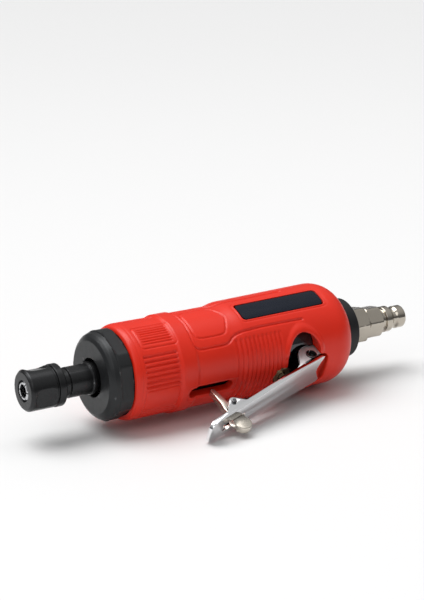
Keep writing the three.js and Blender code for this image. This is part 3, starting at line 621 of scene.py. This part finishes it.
def open_up(work, gap, side_angle, edge, floor):
    """Cuts an opening whose outline is where gap is 0, with a rounded edge and straight walls."""
    outward, across = around_axis(side_angle), around_axis(side_angle - 90)

    def flat(co):
        return co.x, co.dot(across), co.dot(outward)

    def distance(x, n):
        return gap(np.array([x]), np.array([n]))[0]

    doomed = []
    for face in work.faces:
        x, n, height = flat(face.calc_center_median())
        if height > FAR_SIDE and distance(x, n) < edge:
            doomed.append(face)
    gone = set(doomed)
    rim = {v for f in doomed for v in f.verts if any(g not in gone for g in v.link_faces)}
    bmesh.ops.delete(work, geom=doomed, context="FACES")
    rim = [v for v in rim if v.is_valid]
    state = {}

    def gradient(x, n):
        step = 0.02
        gx = distance(x + step, n) - distance(x - step, n)
        gn = distance(x, n + step) - distance(x, n - step)
        size = math.hypot(gx, gn) or 1.0
        return gx / size, gn / size

    def put(vertex, x, n, height):
        vertex.co = Vector((x, 0, 0)) + outward * height + across * n

    for vertex in rim:
        x, n, _ = flat(vertex.co)
        for _ in range(3):
            gx, gn = gradient(x, n)
            miss = distance(x, n) - edge
            x, n = x - gx * miss, n - gn * miss
        _, height, _ = surface_point(x, n, side_angle)
        put(vertex, x, n, height[0])
        state[vertex] = (x, n, height[0], *gradient(x, n))
    rim_set = set(rim)
    loop = [e for e in work.edges if e.is_boundary and all(v in rim_set for v in e.verts)]
    for turn in (30, 60, 90, None):
        made = bmesh.ops.extrude_edge_only(work, edges=loop)["geom"]
        fresh = [g for g in made if isinstance(g, bmesh.types.BMVert)]
        loop = [g for g in made if isinstance(g, bmesh.types.BMEdge)]
        moved = {}
        for vertex in fresh:
            source = next(
                e.other_vert(vertex) for e in vertex.link_edges if e.other_vert(vertex) in state
            )
            x, n, height, gx, gn = state[source]
            moved[vertex] = (x, n, height, gx, gn)
            if turn is None:
                put(vertex, x - gx * edge, n - gn * edge, floor(x, n, height))
            else:
                inward = edge * math.sin(math.radians(turn))
                sunk = edge * (1 - math.cos(math.radians(turn)))
                put(vertex, x - gx * inward, n - gn * inward, height - sunk)
        loop = [e for e in loop if e.verts[0] in moved and e.verts[1] in moved and e.is_boundary]
        state = moved


GRIP_COLUMNS = 512
REAR_START, REAR_LENGTH, REAR_BORE, REAR_RISE = 118.0, 10.5, 16.5, 7.5  # the rear shoulder
CORE_RADIUS = 17.9


def down_to_core(x, n, height):
    """How deep an opening's wall goes: to the metal core inside the grip."""
    return min(height - 1, math.sqrt(max(CORE_RADIUS**2 - n**2, 30.0)))


def build_grip():
    """The moulded grip: one closed skin round the axis, finer where it has more detail."""
    spans = [(11.0, 15.6, 0.35), (15.6, 17.6, 0.3), (17.6, 32.4, 1.1), (32.4, 44.4, 0.3),
             (44.4, 61.4, 0.5), (61.4, 90.0, 0.28), (90.0, 112.0, 0.45), (112.0, 118.01, 0.75)]
    rows = np.concatenate([np.arange(*span) for span in spans])
    angles = np.arange(GRIP_COLUMNS) * 360.0 / GRIP_COLUMNS
    x, angle = np.meshgrid(rows, angles, indexing="ij")
    r = grip_detail(x, angle)
    front = [(20.0, 19.3), (11.3, 19.3), (11.0, 19.45)]
    back = []
    for k in range(1, 15):
        turn = math.radians(90 * k / 14)
        back.append((REAR_START + REAR_LENGTH * math.sin(turn),
                     REAR_BORE + REAR_RISE * math.cos(turn)))
    back += [(128.9, 16.4), (128.9, 16.3), (120, 16.3)]
    shrink = base_radius(np.array([REAR_START]))[0] / (REAR_BORE + REAR_RISE)
    back = [(px, pr * shrink if pr > REAR_BORE + 0.1 else pr) for px, pr in back]
    head = np.array([[row] * GRIP_COLUMNS for row in front])
    tail = np.array([[row] * GRIP_COLUMNS for row in back])
    xs = np.concatenate([head[..., 0], x, tail[..., 0]])
    rs = np.concatenate([head[..., 1], r, tail[..., 1]])
    turns = np.radians(angles)[None, :]
    points = np.stack([xs, -rs * np.cos(turns), -rs * np.sin(turns)], -1).reshape(-1, 3)
    faces = []
    for i in range(len(xs) - 1):
        near, far = i * GRIP_COLUMNS, (i + 1) * GRIP_COLUMNS
        for j in range(GRIP_COLUMNS):
            m = (j + 1) % GRIP_COLUMNS
            faces.append((near + j, near + m, far + m, far + j))
    mesh = bpy.data.meshes.new("grip_shell")
    mesh.from_pydata(points.tolist(), [], faces)
    work = bmesh.new()
    work.from_mesh(mesh)
    open_up(work, opening_gap, LEVER_ANGLE, 0.5, down_to_core)
    open_up(work, slot_gap, LEVER_ANGLE, 0.4, down_to_core)
    open_up(work, panel_gap, PANEL_ANGLE, 0.15, lambda x, n, height: height - 1.4)
    work.to_mesh(mesh)
    work.free()
    mesh.transform(TOOL)
    made = bpy.data.objects.new("grip_shell", mesh)
    bpy.context.scene.collection.objects.link(made)
    return dress(shade(made, 50), RED, "housing", ["grip"])


build_grip()

PANEL_START, PANEL_END, PANEL_HALF, PANEL_CORNER = 71.05, 114.95, 4.7, 1.5
PANEL_ROWS, PANEL_COLUMNS = 44, 14


def build_panel():
    """The glossy panel, which follows the grip's surface."""
    plan = []
    for i in range(PANEL_ROWS + 1):
        x = PANEL_START + (PANEL_END - PANEL_START) * i / PANEL_ROWS
        inset = 0.0
        for end in (PANEL_START, PANEL_END):
            near = PANEL_CORNER - abs(x - end)
            if near > 0:
                reach = math.sqrt(max(PANEL_CORNER**2 - near**2, 0))
                inset = max(inset, PANEL_CORNER - reach)
        half = PANEL_HALF - inset
        for j in range(PANEL_COLUMNS + 1):
            plan.append((x, half * (2 * j / PANEL_COLUMNS - 1)))
    out, across = around_axis(PANEL_ANGLE), around_axis(PANEL_ANGLE - 90)
    verts, faces = [], []
    for depth in (0.18, 1.2):
        for x, n in plan:
            r = base_radius(np.array([x]))[0] - depth
            verts.append(Vector((x, 0, 0)) + out * math.sqrt(r * r - n * n) + across * n)
    per, count = PANEL_COLUMNS + 1, len(plan)
    for i in range(PANEL_ROWS):
        for j in range(PANEL_COLUMNS):
            a = i * per + j
            quad = (a, a + 1, a + per + 1, a + per)
            faces.append(quad)
            faces.append(tuple(count + v for v in reversed(quad)))
    ring = list(range(per))
    ring += [i * per + PANEL_COLUMNS for i in range(1, PANEL_ROWS + 1)]
    ring += [PANEL_ROWS * per + j for j in range(PANEL_COLUMNS - 1, -1, -1)]
    ring += [i * per for i in range(PANEL_ROWS - 1, 0, -1)]
    for k, a in enumerate(ring):
        b = ring[(k + 1) % len(ring)]
        faces.append((a, b, count + b, count + a))
    made = mesh_object("panel_glass", verts, faces, TOOL)
    return dress(shade(made, 40), PANEL, "housing", ["panel_plate"])


build_panel()

# ---- Levers ---------------------------------------------------------------------------------
# In the lever's frame, with the pivot pin at 0.
HALF, TAPER = 7.65, 0.0306  # half the width at the pin, and how fast it narrows
FACE, SHEET, LIP = 4.5, 1.5, 2.2  # the outer face's height, the sheet, and the folded lip's depth
HEEL, TIP = -6.3, 74.2
LOCK_X, LOCK_Y = 54.2, -0.5  # the lock lever's pin
WINDOW_START, WINDOW_END = 50.3, 65.4  # the hole that the lock lever's tab comes through
SLIT_Y = 1.8  # the inner side of the slit between the plate and the pivot ears
PIN_R = 2.5


def lever_plan(margin):
    """The lever's outline seen square to its plate, set in by a margin."""

    def side(x):
        return HALF - TAPER * x - margin

    heel, tip = HEEL + margin, TIP - margin
    corner = max(3.4 - margin, 1.2)
    outline = [(heel + 0.5, -side(heel)), (tip, -side(tip)), (tip, side(tip)),
               (heel + 0.5, side(heel)), (heel, 0)]
    return fillet(outline, [2.4, corner, corner, 2.4, 6], 8)


def plate_side():
    """The plate seen from its side: sheet, folded lips, and the lock lever's two ears."""
    under, lip_y = FACE - SHEET, FACE - LIP
    outline = [(HEEL - 1, FACE), (HEEL - 1, under), (7.0, under), (7.6, under - 0.3), (8.0, lip_y)]
    outline += [(LOCK_X - 5.8, lip_y), (LOCK_X - 5.0, lip_y - 0.5), (LOCK_X - 2.6, LOCK_Y - 0.6)]
    outline += arc(LOCK_X, LOCK_Y, 2.3, 215, 320, 9)
    outline += [(LOCK_X + 3.4, -0.6), (LOCK_X + 5.0, 0.7), (LOCK_X + 6.8, 1.8), (LOCK_X + 9, lip_y)]
    outline += [(TIP - 4, lip_y), (TIP - 2.2, lip_y + 0.25), (TIP + 1, FACE - SHEET + 0.4),
                (TIP + 1, FACE + 0.2), (TIP - 4, FACE)]
    return outline


def ear_side():
    """A pivot ear seen from its side: a disc behind the slit, which runs out along the lip."""
    outline = [(13.0, FACE - 0.9), (7.7, FACE - 0.9), (7.2, 2.3), (6.6, SLIT_Y), (-7.4, SLIT_Y)]
    for k in range(31):
        turn = math.radians(168 + (316 - 168) * k / 30)
        outline.append((-0.6 + 7.5 * math.cos(turn), 0.2 + 6.0 * math.sin(turn)))
    outline += [(6.6, -2.1), (8.3, -0.1), (10.0, 1.3), (13.0, FACE - LIP)]
    return outline


def leaned(side):
    """The lever's frame, sheared so that a flat piece follows one of its narrowing sides."""
    lean = Matrix.Identity(4)
    lean[2][0] = -side * TAPER
    return LEVER @ lean


def join(made, others):
    """Adds other pieces to one, each a closed shell of its own."""
    work = bmesh.new()
    for source in (made, *others):
        work.from_mesh(source.data)
    work.to_mesh(made.data)
    work.free()
    for other in others:
        bpy.data.objects.remove(other)
    return made


def plan_prism(name, outline, low, high):
    """An outline in X and Z, pushed along Y, in the lever's frame."""
    turn = Matrix.Rotation(math.radians(90), 4, "X")
    return prism(name, outline, -high, -low, LEVER @ turn)


def rod(name, radius, low, high, place, cx=0.0, cy=0.0, steps=40):
    """A round prism along Z."""
    return prism(name, arc(cx, cy, radius, 0, 360 - 360 / steps, steps - 1), low, high, place)


lever = prism("lever_shell", plate_side(), -9.5, 9.5, LEVER)
combine(lever, [plan_prism("plan", lever_plan(0), -12, 8)], "INTERSECT")
window = stadium((WINDOW_START + WINDOW_END) / 2, -0.8, (WINDOW_END - WINDOW_START) / 2, 2.0,
                 0.9, 5)
combine(lever, [
    plan_prism("hollow", lever_plan(SHEET), -14, FACE - SHEET),
    plan_prism("window", window, 0, 8),
    rod("hole", 1.25, -12, 12, LEVER, LOCK_X, LOCK_Y, 24),
])
soften(lever, 0.45, 3, 40)
ears = []
for side, hole in ((1, 2.7), (-1, 1.8)):
    low, high = sorted((side * (HALF - SHEET), side * (HALF - 0.02)))
    ear = prism("ear", ear_side(), low, high, leaned(side))
    combine(ear, [rod("hole", hole, -12, 12, LEVER, steps=48)])
    ears.append(soften(ear, 0.3, 3, 40))
plate_faces = len(lever.data.polygons)
join(lever, ears)
dress(shade(lever, 30), CHROME, "throttle", ["throttle_lever"])
lever.data.materials.append(SATIN)
for polygon in lever.data.polygons[plate_faces:]:
    polygon.material_index = 1

pin = rod("pin_shell", PIN_R, 5.6, 8.1, LEVER, steps=56)
turned = LEVER @ Matrix.Rotation(math.radians(-27), 4, "Z")
combine(pin, [
    rod("bore", 2.1, 6.2, 12, LEVER, steps=48),
    prism("slit", [(-0.4, -4), (0.4, -4), (0.4, 0), (-0.4, 0)], 6.2, 12, turned),
])
join(soften(pin, 0.16, 2, 40), [rod("shank", 1.5, -8.6, 5.9, LEVER, steps=40)])
dress(shade(pin, 35), DARK_PIN, "housing", ["lever_pin"])

lock_place = lever_frame(Vector(joints["lock_lever_pivot"]["pos_m"]))


def lock_outline():
    """The lock lever seen from its side: the leaning arm, and the finger tab past the plate."""
    lean = math.radians(10.8)

    def along(distance, offset):
        return (-distance * math.sin(lean) + offset * math.cos(lean),
                -distance * math.cos(lean) - offset * math.sin(lean))

    outline = [along(*p) for p in ((-1, 2.6), (2.0, 2.6), (5.5, 1.75), (9, 1.5), (13.4, 1.35))]
    outline += [along(14.35, 1.0), along(14.8, 0.35), along(14.8, -0.35), along(14.35, -1.0)]
    outline += [along(*p) for p in ((13.4, -1.35), (9, -1.5), (5.5, -1.75))]
    outline += [along(*p) for p in ((2.0, -2.6), (-1, -2.6))]
    outline += [(-2.2, 4.3)]
    outline += arc(1.5, 8.3, 4.2, 200, -20, 26)
    outline += [(4.8, 4.3)]
    return outline


lock = prism("lock_shell", lock_outline(), -2.4, 0.8, lock_place)
combine(lock, [rod("hole", 1.3, -5, 5, lock_place)])
soften(lock, 0.45, 3, 40)
dress(shade(lock, 35), CATCH, "lock", ["lock_lever"])

# ---- Carried-over CAD pieces ----------------------------------------------------------------
looks = {
    "collet": GROUND, "rotor_spindle": OXIDE, "shaft_clip": GROUND, "cap_seal": RUBBER,
    "bearing_retainer": GROUND, "front_end_plate": ALLOY, "motor_cylinder": GROUND,
    "cylinder_dowel": GROUND, "rear_end_plate": ALLOY, "wave_washer": GROUND, "core": CORE,
    "muffler_felt": FELT, "inlet_bushing": NICKEL, "inlet_screen": BRASS, "lever_bracket": CORE,
    "bracket_screw_1": OXIDE, "bracket_screw_2": OXIDE,
    "valve_bushing": BRASS, "stem_seal": RUBBER, "valve_seat": RUBBER, "valve_spring": GROUND,
    "valve_stem": NICKEL, "lock_pin": DARK_PIN, "lock_spring": GROUND,
}
for number in range(1, 6):
    looks[f"vane_{number}"] = FIBRE
for place in ("front", "rear"):
    for kind in ("outer_race", "inner_race", "balls"):
        looks[f"{place}_bearing_{kind}"] = GROUND
for name, material in looks.items():
    node = frame["nodes"][name]
    node.data.materials.clear()
    node.data.materials.append(material)
    for polygon in node.data.polygons:
        polygon.use_smooth = False
    merge = node.modifiers.new("merge", "DECIMATE")
    merge.decimate_type = "DISSOLVE"
    merge.angle_limit = math.radians(1.0)
    bevel = node.modifiers.new("edges", "BEVEL")
    bevel.width = 0.00015
    bevel.segments = 2
    bevel.limit_method = "ANGLE"
    bevel.angle_limit = math.radians(35)
    bevel.harden_normals = False

# ---- Floor, light and camera ----------------------------------------------------------------
FLOOR_HALF, FLOOR_GAP = 6, 0.0006  # the floor's half size and its depth under the tool, in metres
floor_mesh = bpy.data.meshes.new("floor")
corners = ((-1, -1), (1, -1), (1, 1), (-1, 1))
floor_mesh.from_pydata(
    [(FLOOR_HALF * x, FLOOR_HALF * y, -FLOOR_GAP) for x, y in corners], [], [(0, 1, 2, 3)]
)
floor = bpy.data.objects.new("floor", floor_mesh)
bpy.context.scene.collection.objects.link(floor)
pale = bpy.data.materials.new("pale_floor")
pale.use_nodes = True
pale_shader = pale.node_tree.nodes["Principled BSDF"]
pale_shader.inputs["Base Color"].default_value = (0.78, 0.78, 0.78, 1)
pale_shader.inputs["Roughness"].default_value = 0.7
floor_mesh.materials.append(pale)
floor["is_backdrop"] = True

world = bpy.data.worlds.new("studio")
bpy.context.scene.world = world
world.use_nodes = True
world_nodes, world_links = world.node_tree.nodes, world.node_tree.links
way = world_nodes.new("ShaderNodeTexCoord")
parts = world_nodes.new("ShaderNodeSeparateXYZ")
sky = world_nodes.new("ShaderNodeValToRGB")
sky.color_ramp.elements[0].position = 0.0
sky.color_ramp.elements[0].color = (0.20, 0.20, 0.21, 1)
sky.color_ramp.elements[1].position = 1.0
sky.color_ramp.elements[1].color = (1.0, 1.0, 1.0, 1)
for position, level in ((0.28, 0.22), (0.50, 0.55)):
    step = sky.color_ramp.elements.new(position)
    step.color = (level, level, level, 1)
world_links.new(way.outputs["Generated"], parts.inputs["Vector"])
world_links.new(parts.outputs["Z"], sky.inputs["Fac"])
world_links.new(sky.outputs["Color"], world_nodes["Background"].inputs["Color"])
world_nodes["Background"].inputs["Strength"].default_value = 0.68


def softbox(name, place, target, width, height, power):
    light = bpy.data.lights.new(name, "AREA")
    light.shape = "RECTANGLE"
    light.size, light.size_y = width, height
    light.energy = power
    made = bpy.data.objects.new(name, light)
    made.location = place
    made.rotation_mode = "QUATERNION"
    made.rotation_quaternion = (Vector(target) - Vector(place)).to_track_quat("-Z", "Y")
    bpy.context.scene.collection.objects.link(made)


softbox("top", (0.05, 0.15, 1.1), (0, 0, 0), 1.0, 0.5, 2.0)
softbox("left", (-0.9, -0.55, 0.75), (0, 0, 0.03), 0.4, 0.7, 1.2)
sun = bpy.data.lights.new("sun", "SUN")
sun.energy = 2.25
sun.angle = math.radians(50)
sun_place = bpy.data.objects.new("sun", sun)
sun_place.rotation_mode = "QUATERNION"
sun_place.rotation_quaternion = Vector((0.30, -0.30, -1.0)).to_track_quat("-Z", "Y")
bpy.context.scene.collection.objects.link(sun_place)

camera = bpy.data.cameras.new("camera")
camera.lens = 102.0
camera.sensor_width = 36.0
camera.clip_start, camera.clip_end = 0.01, 50
view = bpy.data.objects.new("camera", camera)
CAMERA_BACK, CAMERA_RIGHT, CAMERA_UP = 0.7443, 0.0530, 0.0340  # metres from the cap's middle
bearing, height = math.radians(-32.6), math.radians(16.5)
level = math.cos(height)
back = Vector((math.sin(bearing) * level, -math.cos(bearing) * level, math.sin(height)))
right = Vector((math.cos(bearing), math.sin(bearing), 0))
up = right.cross(-back)
view.rotation_mode = "QUATERNION"
view.rotation_quaternion = (-back).to_track_quat("-Z", "Y")
view.location = AXIS_START + back * CAMERA_BACK + right * CAMERA_RIGHT + up * CAMERA_UP
bpy.context.scene.collection.objects.link(view)
bpy.context.scene.camera = view
bpy.context.scene.view_settings.view_transform = "Standard"

low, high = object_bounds()
